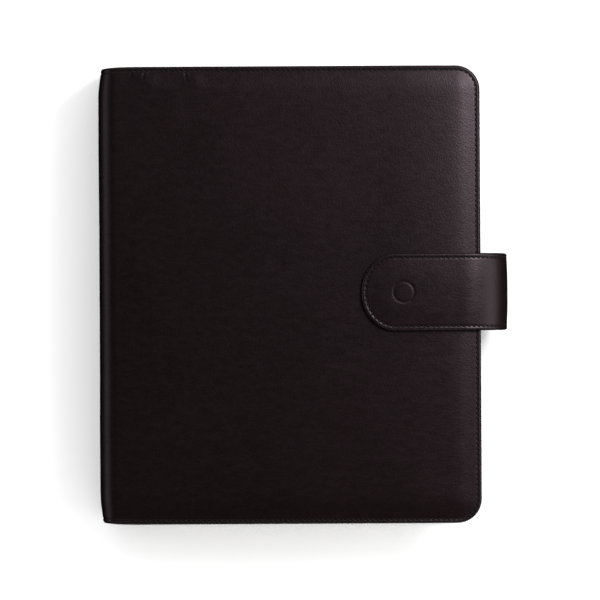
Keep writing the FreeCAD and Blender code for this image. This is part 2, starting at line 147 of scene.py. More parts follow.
def front_path(s, y, offset):
    """From the spine's middle up round the bend and out to the fore edge, a little less high at the spine."""
    angle = np.clip((s - BEND_START) / SPINE_ROUND, 0, math.pi / 2)
    x = SPINE + SPINE_ROUND - (SPINE_ROUND + offset) * np.cos(angle) + np.clip(s - BEND_END, 0, None)
    z = THICK - SPINE_ROUND + (SPINE_ROUND + offset) * np.sin(angle) + np.clip(s - BEND_START, None, 0)
    z = z - droop(x)
    pull = SPINE_PULL * smooth((BEND_END + SPINE_PULL_FROM - s) / SPINE_PULL_OVER)
    y = y * (1 - pull / HALF_HIGH)
    return np.stack([x, y, z], axis=-1)


def back_path(s, y, offset):
    """The same, turned over: the back cover lies on its padded face, so all of it stands a little higher."""
    point = front_path(s, y, offset)
    x = point[..., 0]
    rise = BELLY * smooth((s - BEND_START) / (BEND_END - BEND_START))
    point[..., 2] = THICK - point[..., 2] - droop(x) * (1 - BACK_DROOP) + rise
    return point


def polyline_path(points, step=0.25, soften=2.0):
    """A path along a smoothed line in x and z. Returns the path and its length."""
    points = np.asarray(points, float)
    run = np.concatenate([[0], np.cumsum(np.linalg.norm(np.diff(points, axis=0), axis=1))])
    even = np.arange(0, run[-1], step)
    line = np.stack([np.interp(even, run, points[:, i]) for i in range(2)], axis=-1)
    reach = int(soften / step)
    kernel = np.hanning(2 * reach + 1)
    kernel /= kernel.sum()
    for i in range(2):
        padded = np.concatenate([
            2 * line[0, i] - line[reach:0:-1, i], line[:, i], 2 * line[-1, i] - line[-2:-reach - 2:-1, i]
        ])
        line[:, i] = np.convolve(padded, kernel, mode="valid")
    slope = np.gradient(line, axis=0)
    slope /= np.linalg.norm(slope, axis=1)[:, None]
    outward = np.stack([slope[:, 1], -slope[:, 0]], axis=-1)
    run = np.concatenate([[0], np.cumsum(np.linalg.norm(np.diff(line, axis=0), axis=1))])

    def path(s, y, offset):
        x = np.interp(s, run, line[:, 0]) + np.interp(s, run, outward[:, 0]) * offset
        z = np.interp(s, run, line[:, 1]) + np.interp(s, run, outward[:, 1]) * offset
        return np.stack([x, y, z], axis=-1)

    return path, run[-1]


# ---- soft sheets ---------------------------------------------------------------------------------

EDGE_STEPS = np.array([
    0, 0.06, 0.16, 0.3, 0.48, 0.7, 0.95, 1.2, 1.45, 1.7, 1.95, 2.2, 2.45, 2.7,
    3.0, 3.4, 4.0, 4.8, 5.8, 7.0, 8.4,
])
WALL_STEPS = 4


class Outline:
    """The edge of a sheet open at s = 0: out along one side, round a corner, across the end and back."""

    def __init__(self, length, half, corner_long, corner_high, side_stops, pitch=2.5, corner_steps=9):
        flat = half - corner_high
        angle = np.linspace(0, math.pi / 4, corner_steps + 1)[1:]
        side = [(s, -half, 0, -1) for s in side_stops]
        side += [self.corner(length, half, corner_long, corner_high, a) for a in angle]
        end = [self.corner(length, half, corner_long, corner_high, a + math.pi / 4) for a in angle]
        count = max(2, int(2 * flat / pitch)) if flat > 0.5 else 0
        if count:
            end += [(length, y, 1, 0) for y in np.linspace(-flat, flat, count + 1)[1:-1]]
        mirror = [(s, -y, ns, -ny) for s, y, ns, ny in reversed(end[:corner_steps])]
        if not count:
            mirror = mirror[1:]
        self.side_count = len(side) - 1
        points = side + end + mirror
        points += [(s, -y, ns, -ny) for s, y, ns, ny in reversed(side)]
        points = np.array(points, float)
        self.end_count = len(points) - 1 - 2 * self.side_count
        self.points = points[:, :2]
        self.normals = points[:, 2:]

    @staticmethod
    def corner(length, half, corner_long, corner_high, angle):
        s = length - corner_long + corner_long * math.sin(angle)
        y = -(half - corner_high + corner_high * math.cos(angle))
        normal = np.array([math.sin(angle) / corner_long, -math.cos(angle) / corner_high])
        normal /= np.linalg.norm(normal)
        return (s, y, normal[0], normal[1])

    def loop(self, inset):
        return self.points - self.normals * inset

    def distance(self, s, y):
        """How far each place lies inside the edge."""
        flat = np.stack([np.ravel(s), np.ravel(y)], axis=-1)
        best = np.full(len(flat), 1e9)
        for a, b in zip(self.points[:-1], self.points[1:]):
            step = b - a
            along = np.clip(((flat - a) @ step) / max(step @ step, 1e-12), 0, 1)
            best = np.minimum(best, np.linalg.norm(flat - a - along[:, None] * step, axis=1))
        return best.reshape(np.shape(s))

    def walk(self, inset, pitch, start, stop_before=0.0):
        """Evenly spaced places and directions on a line inside the edge, from s = start round to it again."""
        line = self.loop(inset)
        run = np.concatenate([[0], np.cumsum(np.linalg.norm(np.diff(line, axis=0), axis=1))])
        count = int((run[-1] - start - stop_before) / pitch)
        middle = (start + run[-1] - stop_before) / 2
        stops = middle + (np.arange(count) - (count - 1) / 2) * pitch
        places = np.stack([np.interp(stops, run, line[:, i]) for i in range(2)], axis=-1)
        ahead = np.stack([np.interp(stops + 0.2, run, line[:, i]) for i in range(2)], axis=-1)
        direction = ahead - places
        return places, direction / np.linalg.norm(direction, axis=1)[:, None]


def coons(outline, inset):
    """A grid filling the innermost loop, with its corners at the middles of the rounded corners."""
    line = outline.loop(inset)
    c, r = outline.side_count, outline.end_count
    low = line[:c + 1]
    right = line[c:c + r + 1]
    high = line[c + r:][::-1]
    v = np.concatenate([[0], np.cumsum(np.linalg.norm(np.diff(right, axis=0), axis=1))])
    v /= v[-1]
    left = low[0] + (high[0] - low[0]) * v[:, None]
    u = np.concatenate([[0], np.cumsum(np.linalg.norm(np.diff(low, axis=0), axis=1))])
    u /= u[-1]
    uu, vv = u[:, None, None], v[None, :, None]
    grid = (1 - vv) * low[:, None] + vv * high[:, None] + (1 - uu) * left[None] + uu * right[None]
    grid -= (1 - uu) * (1 - vv) * low[0] + uu * (1 - vv) * low[-1]
    grid -= (1 - uu) * vv * high[0] + uu * vv * high[-1]
    return grid


def soft_sheet(name, outline, path, top, under, material, steps=EDGE_STEPS, bulge=0.12):
    """A closed sheet. top(d, s, y) and under(d, s, y) give its faces' offsets, d in from the edge.

    Its cut ends at s = 0 are flat, with sharp edges, so that two halves meet without a dark line.
    """
    c, r = outline.side_count, outline.end_count
    loops = [outline.loop(d) for d in steps]
    grid = coons(outline, steps[-1])
    inner_d = outline.distance(grid[..., 0], grid[..., 1])
    inner_d = np.maximum(inner_d, steps[-1])
    vertices = []
    count = 0

    def add(points):
        nonlocal count
        points = points.reshape(-1, 3)
        vertices.append(points)
        count += len(points)
        return np.arange(count - len(points), count)

    def face(offset):
        rows = []
        for d, line in zip(steps, loops):
            s, y = line[:, 0], line[:, 1]
            rows.append(add(path(s, y, offset(np.full(len(s), d), s, y))))
        s, y = grid[..., 0], grid[..., 1]
        ids = add(path(s, y, offset(inner_d, s, y))).reshape(c + 1, r + 1)
        last = rows[-1]
        ids[:, 0] = last[:c + 1]
        ids[c, :] = last[c:c + r + 1]
        ids[:, r] = last[c + r:][::-1]
        return rows, ids

    top_rows, top_grid = face(top)
    low_rows, low_grid = face(under)
    edge = outline.points
    zero = np.zeros(len(edge))
    high = top(zero, edge[:, 0], edge[:, 1])
    low = under(zero, edge[:, 0], edge[:, 1])
    walls = [top_rows[0]]
    for k in range(1, WALL_STEPS):
        share = k / WALL_STEPS
        out = edge + outline.normals * bulge * math.sin(math.pi * share)
        walls.append(add(path(out[:, 0], out[:, 1], high + (low - high) * share)))
    walls.append(low_rows[0])
    faces = []

    def strip(a, b):
        for i in range(len(a) - 1):
            faces.append((a[i], a[i + 1], b[i + 1], b[i]))

    for a, b in zip(walls[:-1], walls[1:]):
        strip(b, a)
    for a, b in zip(top_rows[:-1], top_rows[1:]):
        strip(a, b)
    for a, b in zip(low_rows[:-1], low_rows[1:]):
        strip(b, a)
    for i in range(c):
        for j in range(r):
            faces.append((top_grid[i, j], top_grid[i + 1, j], top_grid[i + 1, j + 1], top_grid[i, j + 1]))
            faces.append((low_grid[i, j], low_grid[i, j + 1], low_grid[i + 1, j + 1], low_grid[i + 1, j]))
    soft_faces = len(faces)
    top_line = [row[0] for row in top_rows] + list(top_grid[0, 1:r]) + [row[-1] for row in top_rows[::-1]]
    low_line = [row[0] for row in low_rows] + list(low_grid[0, 1:r]) + [row[-1] for row in low_rows[::-1]]
    for i in range(1, len(top_line) - 2):
        faces.append((top_line[i], top_line[i + 1], low_line[i + 1], low_line[i]))
    faces.append([top_line[0], top_line[1], low_line[1], low_line[0]] + [w[0] for w in walls[-2:0:-1]])
    faces.append([top_line[-2], top_line[-1]] + [w[-1] for w in walls[1:-1]] + [low_line[-1], low_line[-2]])
    points = np.concatenate(vertices)
    used = np.zeros(len(points), bool)
    for ids in faces:
        used[list(ids)] = True
    renumber = np.cumsum(used) - 1
    faces = [tuple(int(renumber[i]) for i in ids) for ids in faces]
    piece = new_mesh(name, points[used], faces, material)
    for polygon in list(piece.data.polygons)[soft_faces - len(faces):]:
        polygon.use_smooth = False
        for loop in polygon.loop_indices:
            piece.data.edges[piece.data.loops[loop].edge_index].use_edge_sharp = True
    return piece


# ---- stitches ------------------------------------------------------------------------------------

STITCH_PITCH = 2.6
STITCH_LONG = 2.0
STITCH_WIDE = 1.0
STITCH_TALL = 0.6
STITCH_SLANT = -27.0
STITCH_ARCH = 0.12
SEAM_LIFT = 0.08
BACK_LIFT = 0.02
BACK_SHARE = 0.8


def stitches(name, groups, material):
    """Slanted stitches of thick thread, each group being (places, directions, lay).

    lay(s, y, height) gives a point at a height over the seam's surface.
    """
    rings, sides = 7, 8
    along = np.linspace(-1, 1, rings)
    girth = np.sqrt(np.clip(1 - along ** 4, 0.03, 1))
    turn = np.linspace(0, 2 * math.pi, sides, endpoint=False)
    slant = math.radians(STITCH_SLANT)
    vertices, faces = [], []
    for places, directions, lay in groups:
        for place, direction in zip(places, directions):
            across = np.array([-direction[1], direction[0]])
            lean = direction * math.cos(slant) + across * math.sin(slant)
            side = np.array([-lean[1], lean[0]])
            first = len(vertices)
            for a, g in zip(along, girth):
                centre = place + lean * a * STITCH_LONG / 2
                for t in turn:
                    at = centre + side * math.cos(t) * g * STITCH_WIDE / 2
                    height = math.sin(t) * g * STITCH_TALL / 2 + STITCH_ARCH * (1 - a * a)
                    vertices.append(lay(at[0], at[1], height))
            for k in range(rings - 1):
                for i in range(sides):
                    a, b = first + k * sides + i, first + k * sides + (i + 1) % sides
                    faces.append((a, b, b + sides, a + sides))
            faces.append(tuple(first + i for i in reversed(range(sides))))
            faces.append(tuple(first + (rings - 1) * sides + i for i in range(sides)))
    return new_mesh(name, vertices, faces, material)


# ---- materials -----------------------------------------------------------------------------------


class Nodes:
    """A material and short ways to add nodes to it."""

    def __init__(self, name):
        self.material = bpy.data.materials.new(name)
        self.material.use_nodes = True
        self.tree = self.material.node_tree
        self.shader = self.tree.nodes["Principled BSDF"]
        self.place = self.add("ShaderNodeTexCoord").outputs["Object"]

    def add(self, kind, **settings):
        node = self.tree.nodes.new(kind)
        for key, value in settings.items():
            setattr(node, key, value)
        return node

    def link(self, source, target):
        self.tree.links.new(source, target)

    def stretched(self, scale, source=None):
        node = self.add("ShaderNodeMapping")
        node.inputs["Scale"].default_value = scale
        self.link(source or self.place, node.inputs["Vector"])
        return node.outputs["Vector"]

    def noise(self, scale, detail=4.0, rough=0.55, vector=None, distortion=0.0):
        node = self.add("ShaderNodeTexNoise")
        node.inputs["Scale"].default_value = scale
        node.inputs["Detail"].default_value = detail
        node.inputs["Roughness"].default_value = rough
        node.inputs["Distortion"].default_value = distortion
        self.link(vector or self.place, node.inputs["Vector"])
        return node.outputs["Fac"]

    def cells(self, scale, vector, smoothness):
        node = self.add("ShaderNodeTexVoronoi", feature="SMOOTH_F1")
        node.inputs["Scale"].default_value = scale
        node.inputs["Smoothness"].default_value = smoothness
        self.link(vector, node.inputs["Vector"])
        return node.outputs["Distance"]

    def ramp(self, source, stops):
        node = self.add("ShaderNodeValToRGB")
        ramp = node.color_ramp
        while len(ramp.elements) < len(stops):
            ramp.elements.new(0.5)
        for element, (at, colour) in zip(ramp.elements, stops):
            element.position = at
            element.color = (*colour, 1.0)
        self.link(source, node.inputs["Fac"])
        return node.outputs["Color"]

    def between(self, source, low, high, from_low=0.0, from_high=1.0):
        node = self.add("ShaderNodeMapRange")
        node.inputs["From Min"].default_value = from_low
        node.inputs["From Max"].default_value = from_high
        node.inputs["To Min"].default_value = low
        node.inputs["To Max"].default_value = high
        self.link(source, node.inputs["Value"])
        return node.outputs["Result"]

    def maths(self, operation, first, second=None):
        node = self.add("ShaderNodeMath", operation=operation)
        for index, value in enumerate((first, second)):
            if value is None:
                continue
            if isinstance(value, (int, float)):
                node.inputs[index].default_value = value
            else:
                self.link(value, node.inputs[index])
        return node.outputs["Value"]

    def raised(self, height, strength, distance, under=None):
        node = self.add("ShaderNodeBump")
        node.inputs["Strength"].default_value = strength
        node.inputs["Distance"].default_value = distance
        self.link(height, node.inputs["Height"])
        if under:
            self.link(under, node.inputs["Normal"])
        return node.outputs["Normal"]

    def finish(self, colour=None, roughness=None, normal=None, **fixed):
        for source, socket in ((colour, "Base Color"), (roughness, "Roughness"), (normal, "Normal")):
            if source:
                self.link(source, self.shader.inputs[socket])
        for key, value in fixed.items():
            self.shader.inputs[key.replace("_", " ")].default_value = value
        return self.material


def leather(name, dark, light, grain=1250.0, rough=(0.34, 0.44), grain_depth=0.00013):
    """Smooth grained leather: small pebbles, soft creases mostly one way, and an uneven depth of colour."""
    m = Nodes(name)
    warp = m.noise(240.0, 3.0)
    warped = m.add("ShaderNodeVectorMath", operation="MULTIPLY_ADD")
    m.link(warp, warped.inputs[0])
    warped.inputs[1].default_value = (0.0012, 0.0012, 0.0012)
    m.link(m.place, warped.inputs[2])
    pebbles = m.cells(grain, warped.outputs["Vector"], 0.55)
    creases = m.noise(170.0, 5.0, 0.62, m.stretched((1.0, 2.0, 1.6)), distortion=0.8)
    patches = m.noise(14.0, 3.0, 0.5)
    fine = m.noise(1900.0, 2.0)
    normal = m.raised(creases, 0.28, 0.0002)
    normal = m.raised(pebbles, 0.36, grain_depth, normal)
    normal = m.raised(fine, 0.25, 0.00003, normal)
    tone = m.maths("ADD", m.maths("MULTIPLY", patches, 0.6), m.maths("MULTIPLY", creases, 0.4))
    colour = m.ramp(tone, [(0.3, dark), (0.72, light)])
    relief = m.maths("ADD", m.maths("MULTIPLY", creases, 0.7), m.maths("MULTIPLY", pebbles, 0.3))
    roughness = m.between(relief, rough[0], rough[1], 0.25, 0.7)
    return m.finish(colour, roughness, normal, Specular_IOR_Level=0.46, Specular_Tint=(1.0, 0.8, 0.9, 1.0))


def thread(name, dark, light):
    m = Nodes(name)
    twist = m.add("ShaderNodeTexWave", wave_type="BANDS", bands_direction="DIAGONAL")
    twist.inputs["Scale"].default_value = 900.0
    twist.inputs["Distortion"].default_value = 1.5
    m.link(m.place, twist.inputs["Vector"])
    fuzz = m.noise(2600.0, 2.0)
    colour = m.ramp(fuzz, [(0.3, dark), (0.75, light)])
    normal = m.raised(twist.outputs["Fac"], 0.4, 0.00008)
    return m.finish(colour, m.between(fuzz, 0.6, 0.8), normal, Specular_IOR_Level=0.2)


def metal(name, colour, rough, tint):
    m = Nodes(name)
    brushed = m.noise(900.0, 3.0, 0.6, m.stretched((1.0, 0.06, 1.0)))
    smears = m.noise(60.0, 3.0)
    shade = m.ramp(smears, [(0.3, colour), (0.75, tint)])
    normal = m.raised(brushed, 0.12, 0.00002)
    return m.finish(shade, m.between(smears, rough[0], rough[1]), normal, Metallic=1.0)


RULE_PITCH = 0.007
RULED_HALF = 0.086


def paper(name, dark, light, ruled=True):
    """Uncoated paper. Its flat faces carry faint ruled lines, and its edges show only the sheets."""
    m = Nodes(name)
    fibres = m.noise(900.0, 4.0, 0.65)
    tone = m.ramp(m.noise(300.0, 4.0), [(0.2, dark), (0.8, light)])
    if ruled:
        parts = m.add("ShaderNodeSeparateXYZ")
        m.link(m.place, parts.inputs["Vector"])
        lines = m.maths("FRACT", m.maths("MULTIPLY", parts.outputs["Y"], 1 / RULE_PITCH))
        line = m.maths("LESS_THAN", lines, 0.045)
        margin = m.maths("LESS_THAN", m.maths("ABSOLUTE", parts.outputs["Y"]), RULED_HALF)
        facing = m.add("ShaderNodeSeparateXYZ")
        m.link(m.add("ShaderNodeTexCoord").outputs["Normal"], facing.inputs["Vector"])
        flat = m.maths("GREATER_THAN", m.maths("ABSOLUTE", facing.outputs["Z"]), 0.9)
        mask = m.maths("MULTIPLY", m.maths("MULTIPLY", line, margin), flat)
        mix = m.add("ShaderNodeMix", data_type="RGBA")
        m.link(m.maths("MULTIPLY", mask, 0.6), mix.inputs["Factor"])
        m.link(tone, mix.inputs[6])
        mix.inputs[7].default_value = (0.33, 0.36, 0.42, 1.0)
        tone = mix.outputs[2]
    return m.finish(tone, m.between(fibres, 0.8, 0.95), m.raised(fibres, 0.2, 0.00005))


# The work below uses these finishes by name. Each has its own function above.
LEATHER = leather("cover_leather", (0.0034, 0.0008, 0.0009), (0.0056, 0.0016, 0.0017))
LINING = leather(
    "lining_leather", (0.012, 0.0085, 0.009), (0.021, 0.0155, 0.016), 1500.0, (0.5, 0.68), 0.0001
)
THREAD = thread("sewing_thread", (0.0018, 0.0012, 0.0014), (0.006, 0.004, 0.0045))
CHROME = metal("ring_chrome", (0.62, 0.62, 0.64), (0.12, 0.24), (0.78, 0.78, 0.79))
STUD = metal("snap_metal", (0.3, 0.23, 0.14), (0.28, 0.42), (0.46, 0.37, 0.24))
PAPER = paper("page_paper", (0.6, 0.57, 0.49), (0.64, 0.61, 0.53))
CARD = paper("divider_card", (0.3, 0.24, 0.17), (0.4, 0.33, 0.25), ruled=False)

# ---- cover leather -------------------------------------------------------------------------------

RIM_LEVEL = -0.5
SEAM_IN = 2.0
PILLOW = 1.25
BACK_PILLOW = 0.75
PILLOW_REACH = 6.6
STEEP_REACH = 1.8
STEEP_SHARE = 0.22
BROAD_SHARE = 0.78
HEM_DEPTH = 3.3
HEM_SINK = 1.9
LINING_SINK = 2.1
STITCHES_FROM = -83.0


def rolled(d, radius):
    """The fall of a rolled edge."""
    inside = np.clip(radius - d, 0, radius)
    return np.sqrt(radius * radius - inside * inside) - radius


def sewn_face(d, radius=1.3, seam=SEAM_IN, pillow=PILLOW, depth=0.24, level=RIM_LEVEL):
    """A padded face: a rolled rim, a seam sunk beside it, and leather that swells away from the seam."""
    inner = np.clip(d - seam - 0.2, 0, None)
    steep = 1 - np.exp(-inner / STEEP_REACH)
    broad = 1 - np.exp(-((inner / PILLOW_REACH) ** 2))
    swell = pillow * (STEEP_SHARE * steep + BROAD_SHARE * broad)
    return level + rolled(d, radius) + 0.05 * bump(d - 1.0, 0.4) - depth * bump(d - seam, 0.5) + swell


def hinge_thin(s):
    """1 over the boards, 0 in the bare hinges where only leather and lining are left."""
    spine_side = 1 - smooth((s - BEND_START + 1.0) / 2.5)
    cover_side = smooth((s - BEND_END - 1.5) / 3.0)
    return np.clip(spine_side + cover_side, 0, 1)


# Each crease is (x, slant, length, depth), running in from the top edge.
CREASES = ((-81.5, 0.15, 4.0, 0.22), (-73.4, -0.25, 4.5, 0.32), (-54.6, 0.35, 5.5, 0.34))


def cover_face(seed, pillow, creases):
    """The outer face's offset: padding, uneven swelling and, where creases is true, a few short creases."""

    def offset(d, s, y):
        value = sewn_face(d, pillow=PILLOW + (pillow - PILLOW) * smooth(s / BEND_END))
        place = np.stack([s, y, np.full(np.shape(s), seed)], axis=-1)
        inner = smooth((d - 3) / 10) * smooth(s / 12)
        value = value + inner * (0.16 * ripple(place, 34.0, seed) + 0.05 * ripple(place, 11.0, seed + 1))
        value = value + 0.015 * ripple(place, 3.2, seed + 2) * smooth(d / 2) * smooth(s / 3)
        if creases:
            inside = HALF_HIGH - y
            for x, slant, long, depth in CREASES:
                run = s - s_of_x(x) - slant * inside + 0.4 * ripple(place, 6.0, seed + 3)
                fade = smooth((long + 3 - inside) / long) * smooth((inside - SEAM_IN - 0.3) / 1.2)
                value = value + fade * depth * (0.5 * bump(run - 1.0, 0.7) - bump(run, 0.5))
                value = value + 0.9 * depth * bump(run - 4.0, 4.0) * bump(inside - long - 2.0, 4.5)
        return value

    return offset


def hem_face(d, s, y):
    """The leather's under face, thick where it is turned in round the board."""
    return -HEM_DEPTH + (PANEL - HEM_SINK) * (1 - hinge_thin(s)) - 0.6 * rolled(d, 0.9)


def lining_face(d, s, y):
    """The lining's visible face, sunk towards the leather at the hinges and edged with a pressed line."""
    place = np.stack([s, y, np.zeros(np.shape(s))], axis=-1)
    sink = (PANEL - LINING_SINK) * (1 - hinge_thin(s))
    return -PANEL + sink - 0.6 * rolled(d, 0.5) + 0.1 * bump(d - 1.2, 0.35) + 0.05 * ripple(place, 16.0, 5)


def lining_back(d, s, y):
    return -HEM_DEPTH + 0.15 + (PANEL - LINING_SINK) * (1 - hinge_thin(s))


CREASED_FROM = BEND_END + 12
CREASED_TO = BEND_END + 42
SIDE_STOPS = np.concatenate([
    np.linspace(0, BEND_START, 5)[:-1],
    np.linspace(BEND_START, CREASED_FROM, 36)[:-1],
    np.linspace(CREASED_FROM, CREASED_TO, 56)[:-1],
    np.linspace(CREASED_TO, COVER_LONG - CORNER_ROUND, 57),
])
LINING_INSET = 1.25
COVER_EDGE = Outline(COVER_LONG, HALF_HIGH, CORNER_ROUND, CORNER_ROUND, SIDE_STOPS)
LINING_ROUND = CORNER_ROUND - LINING_INSET
LINING_EDGE = Outline(
    COVER_LONG - LINING_INSET, HALF_HIGH - LINING_INSET, LINING_ROUND, LINING_ROUND, SIDE_STOPS
)


def cover(side, path, seed):
    """One cover with its half of the spine: outer leather, lining and the seam that holds them together."""
    front = side == "front"
    face = cover_face(seed, PILLOW if front else BACK_PILLOW, front)
    leather_piece = soft_sheet(f"{side}_cover_leather_skin", COVER_EDGE, path, face, hem_face, LEATHER)
    lining_piece = soft_sheet(
        f"{side}_cover_lining_skin", LINING_EDGE, path, lining_back, lining_face, LINING, bulge=0.05
    )
    places, directions = COVER_EDGE.walk(SEAM_IN, STITCH_PITCH, s_of_x(STITCHES_FROM), s_of_x(STITCHES_FROM))
    level = float(sewn_face(np.array([SEAM_IN]))[0]) + SEAM_LIFT
    outside = (places, directions, lambda s, y, h: path(s, y, level + h))
    inside = (places, directions, lambda s, y, h: path(s, y, -PANEL - BACK_LIFT - h * BACK_SHARE))
    seam = stitches(f"{side}_cover_stitches", [outside, inside], THREAD)
    for piece in (leather_piece, lining_piece):
        upright = path(np.array([BEND_START, BEND_END]), np.zeros(2), np.zeros(2)) * MM
        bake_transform(piece)
    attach(seam, f"{side}_cover")
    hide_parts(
        f"{side}_cover_leather", f"{side}_cover_padding", f"{side}_cover_board"
    )
    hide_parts(f"{side}_cover_lining")
    return leather_piece, lining_piece


front_leather, front_lining = cover("front", front_path, 1.0)
cover("back", back_path, 2.0)
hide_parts("spine_leather", "spine_board")
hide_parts("spine_lining")

# ---- tab strap -----------------------------------------------------------------------------------

STRAP_THICK = 2.7
STRAP_CURVE_FROM = 87.0
STRAP_SPARE = 1.3
STRAP_FOOT_Z = 1.9
STRAP_CENTRE_Z = 21.0
STRAP_TIP_DEEP = 17.5
STRAP_SEAM_IN = 2.15
STRAP_RIM = {"radius": 0.95, "seam": STRAP_SEAM_IN, "pillow": 0.4, "depth": 0.24, "level": -0.15}
STRAP_REST = 0.35
STRAP_BEND_LONG = 46.0
STRAP_UNEVEN = 17.0
MARK_ROUND = 5.3
MARK_WIDE = 0.42
MARK_DEEP = 0.3
SOCKET_ROUND = (SNAP_HIGH[0] - SNAP_LOW[0]) / 2 + 0.2
SOCKET_DEEP = 0.5
STUD_ROUND = 3.3
STUD_DEEP = 1.3
FOOT_IN = 3.5
FOOT_ROUND = 2.0


def strap_paths():
    """The strap's outer face from the middle of its riser: up and over to the tip, and down to its foot."""
    lie = THICK + STRAP_REST
    top_z = lie - droop(STRAP_CURVE_FROM) + STRAP_THICK
    angle = np.linspace(0, math.pi / 2, 60)
    wide = RISER_HIGH[0] + STRAP_SPARE - STRAP_CURVE_FROM
    high = top_z - STRAP_CENTRE_Z
    over = [(STRAP_CURVE_FROM + wide * math.cos(a), STRAP_CENTRE_Z + high * math.sin(a)) for a in angle]
    over += [(x, lie - droop(x) + STRAP_THICK) for x in np.linspace(STRAP_CURVE_FROM - 2, FLAP_LOW[0], 40)]
    narrow = RISER_HIGH[0] + STRAP_SPARE - FORE
    deep = STRAP_CENTRE_Z - STRAP_FOOT_Z
    under = [(FORE + narrow * math.cos(a), STRAP_CENTRE_Z - deep * math.sin(a)) for a in angle]
    under += [(FORE - FOOT_IN, STRAP_FOOT_Z)]
    return polyline_path(over, soften=6.0), polyline_path(under, soften=3.0)


def strap_face(length):
    """The strap's outer face: a rim, its seam, a plain pressed ring over the snap, and slight unevenness."""

    def offset(d, s, y):
        value = sewn_face(d, **STRAP_RIM)
        at = np.hypot(length - s - (SNAP[0] - FLAP_LOW[0]), y)
        value = value - MARK_DEEP * bump(at - MARK_ROUND, MARK_WIDE) + 0.06 * bump(at, 4.0)
        place = np.stack([s, y, np.zeros(np.shape(s))], axis=-1)
        uneven = 0.07 * ripple(place, STRAP_UNEVEN, 9) * smooth((d - 2) / 6) + 0.012 * ripple(place, 2.8, 4)
        return value + uneven * smooth(s / 6)

    return offset


def strap_back(length):
    """The strap's under face, with the recess where the press stud's socket is set."""

    def offset(d, s, y):
        at = np.hypot(length - s - (SNAP[0] - FLAP_LOW[0]), y)
        recess = SOCKET_DEEP * (1 - smooth((at - SOCKET_ROUND) / 0.6))
        recess = recess + STUD_DEEP * (1 - smooth((at - STUD_ROUND) / 0.5))
        return -STRAP_THICK - rolled(d, 0.8) * 0.8 + recess

    return offset


def shifted(path, sign=1):
    """A strap path with y measured from the strap's own middle, and offsets turned outwards."""
    return lambda s, y, offset: path(s, y * sign + STRAP_MIDDLE, -offset * sign)


def strap():
    (over, over_long), (under, under_long) = strap_paths()
    over = shifted(over, -1)
    under = shifted(under)
    bend_stops = np.linspace(0, STRAP_BEND_LONG, 40)[:-1]
    stops = np.concatenate([bend_stops, np.linspace(STRAP_BEND_LONG, over_long - STRAP_TIP_DEEP, 44)])
    edge = Outline(over_long, STRAP_HALF, STRAP_TIP_DEEP, STRAP_HALF - 0.2, stops, pitch=1.0, corner_steps=20)
    upper = soft_sheet("strap_upper", edge, over, strap_face(over_long), strap_back(over_long), LEATHER)
    foot_stops = np.linspace(0, under_long - FOOT_ROUND, 34)
    foot_edge = Outline(
        under_long, STRAP_HALF, FOOT_ROUND, FOOT_ROUND, foot_stops, pitch=2.0, corner_steps=5
    )
    foot_steps = EDGE_STEPS[EDGE_STEPS < FOOT_ROUND - 0.1]
    lower = soft_sheet("strap_lower", foot_edge, under, strap_low_face, strap_low_back, LEATHER, foot_steps)
    level = float(sewn_face(np.array([STRAP_SEAM_IN]), **STRAP_RIM)[0]) + SEAM_LIFT
    places, directions = edge.walk(STRAP_SEAM_IN, STITCH_PITCH, 1.0, 1.0)
    seam = stitches(
        "strap_upper_stitches",
        [
            (places, directions, lambda s, y, h: over(s, y, level + h)),
            (places, directions, lambda s, y, h: over(s, y, -STRAP_THICK - BACK_LIFT - h * BACK_SHARE)),
        ],
        THREAD,
    )
    side = STRAP_HALF - STRAP_SEAM_IN
    runs = np.arange(2.3, under_long - 4, STITCH_PITCH)
    groups = []
    for sign in (-1, 1):
        places = np.stack([runs, np.full(len(runs), sign * side)], axis=-1)
        directions = np.tile([float(-sign), 0.0], (len(runs), 1))
        groups.append((places, directions, lambda s, y, h: under(s, y, level + h)))
    low_seam = stitches("strap_lower_stitches", groups, THREAD)
    for piece in (upper, seam):
        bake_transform(piece)
    for piece in (lower, low_seam):
        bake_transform(piece)
    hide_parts("strap_flap_leather", "strap_flap_lining", "strap_stiffener", "snap_cap")
    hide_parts("strap_base", "strap_riser_leather", "strap_riser_lining")


def strap_low_face(d, s, y):
    """The riser's outer face: the same rim and seam along both sides, carried straight on to the foot."""
    place = np.stack([s, y, np.ones(np.shape(s))], axis=-1)
    value = sewn_face(STRAP_HALF - np.abs(y), **STRAP_RIM)
    return value + 0.05 * ripple(place, STRAP_UNEVEN, 9) * smooth(s / 6)


def strap_low_back(d, s, y):
    return -STRAP_THICK - rolled(STRAP_HALF - np.abs(y), 0.8) * 0.8


strap()

# ---- pockets and pen loop ------------------------------------------------------------------------

POCKET_SEAM_IN = 1.7
POCKET_CORNER = 3.0
POCKET_STEPS = EDGE_STEPS[EDGE_STEPS < POCKET_CORNER]
POCKET_UNDER = -0.12
POCKET_FOLD = 3.4
SLIP_NOTCH = (14.0, 30.0)
CARD_NOTCH = (5.0, 12.0)


def pocket_edges(length, half):
    """Three sewn sides and, at s = 0, an open one."""
    near = [0, 0.2, 0.5, 0.9, 1.4, 2.0, 2.6, 3.0, 3.4, 3.8, 4.4]
    stops = np.concatenate([near, np.arange(6, length - POCKET_CORNER - 1, 2.5), [length - POCKET_CORNER]])
    return Outline(length, half, POCKET_CORNER, POCKET_CORNER, stops, pitch=2.5, corner_steps=5)


